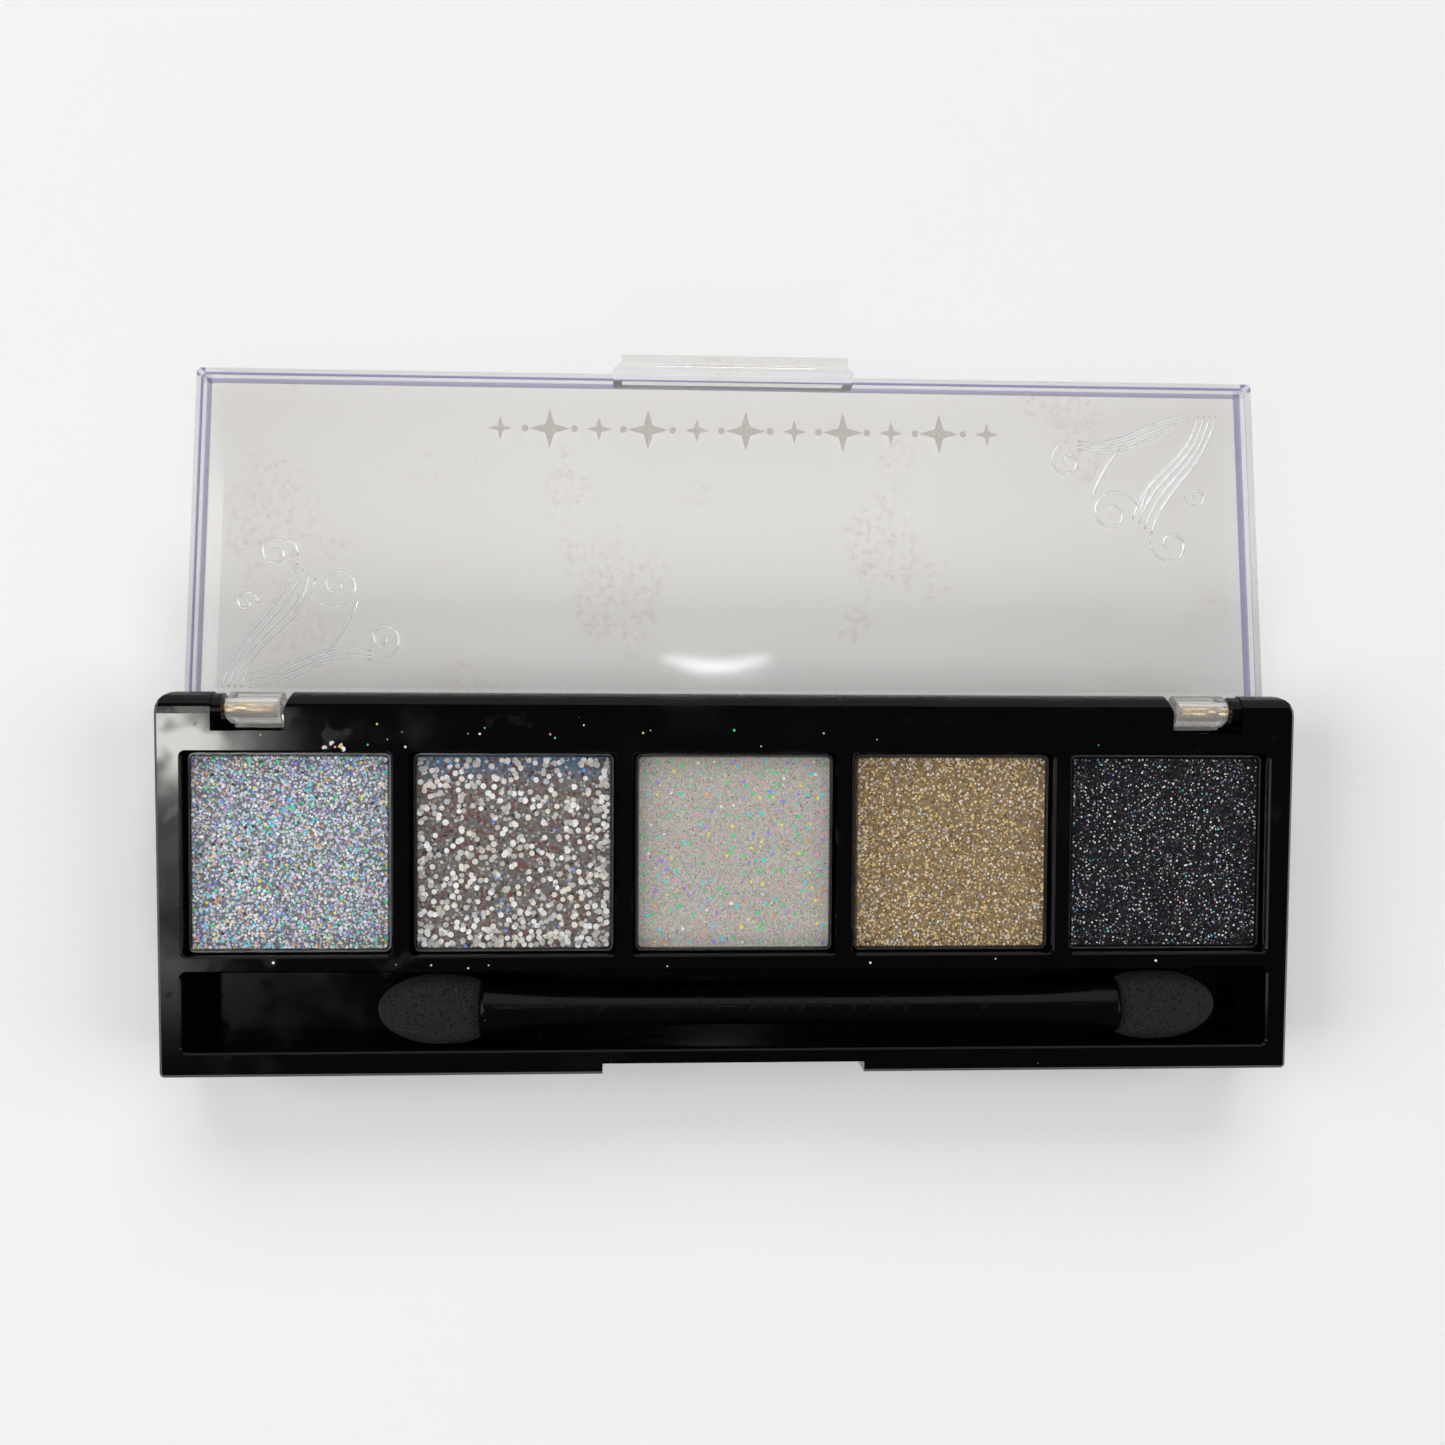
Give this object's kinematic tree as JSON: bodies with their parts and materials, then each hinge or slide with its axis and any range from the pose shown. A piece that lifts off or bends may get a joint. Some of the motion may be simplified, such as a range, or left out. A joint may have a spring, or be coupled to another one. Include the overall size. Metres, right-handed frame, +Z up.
{
  "type": "eyeshadow palette",
  "caption": "Slim rectangular eyeshadow palette with a row of square pans, a clear hinged lid lying open and a double-ended sponge applicator in a front trough.",
  "frame": {"origin": "middle of the underside of the base, on the face that the palette rests on", "axes": "+X along the row of pans, +Y from the catch towards the hinge, +Z up out of the pans"},
  "size_m": [0.125, 0.0795, 0.0123],
  "materials": {
    "base_plastic": "glossy black moulded plastic",
    "label_paper": "plain matte paper label",
    "tinplate": "pressed tinplate",
    "glue": "soft translucent adhesive",
    "shadow_silver": "fine holographic silver glitter",
    "shadow_flake": "chunky silver and rose flakes in clear gel",
    "shadow_pearl": "pearly white powder with sparse sparkle",
    "shadow_champagne": "fine champagne glitter",
    "shadow_charcoal": "charcoal powder with silver micro glitter",
    "lid_plastic": "clear moulded plastic",
    "pin_brass": "bright turned brass",
    "handle_plastic": "glossy black moulded plastic",
    "stem_plastic": "satin black plastic",
    "foam": "matte black open-cell foam"
  },
  "bodies": {
    "base": {"base_shell": "base_plastic", "bottom_label": "label_paper", "pan_1": "tinplate", "pan_2": "tinplate", "pan_3": "tinplate", "pan_4": "tinplate", "pan_5": "tinplate", "pan_glue_1": "glue", "pan_glue_2": "glue", "pan_glue_3": "glue", "pan_glue_4": "glue", "pan_glue_5": "glue", "shadow_1": "shadow_silver", "shadow_2": "shadow_flake", "shadow_3": "shadow_pearl", "shadow_4": "shadow_champagne", "shadow_5": "shadow_charcoal", "hinge_pin_left": "pin_brass", "hinge_pin_right": "pin_brass"},
    "lid": {"lid": "lid_plastic"},
    "applicator": {"applicator_handle": "handle_plastic", "applicator_stem_left": "stem_plastic", "applicator_stem_right": "stem_plastic", "sponge_tip_left": "foam", "sponge_tip_right": "foam"}
  },
  "joints": [
    {"name": "lid_hinge", "type": "hinge", "parent": "base", "child": "lid", "pos_m": [0, 0.01915, 0.01025], "axis": [1, 0, 0], "range_deg": [0, 186]},
    {"name": "applicator_lift", "type": "slide", "parent": "base", "child": "applicator", "axis": [0, 0, 1], "range_m": [0, 0.02]}
  ]
}
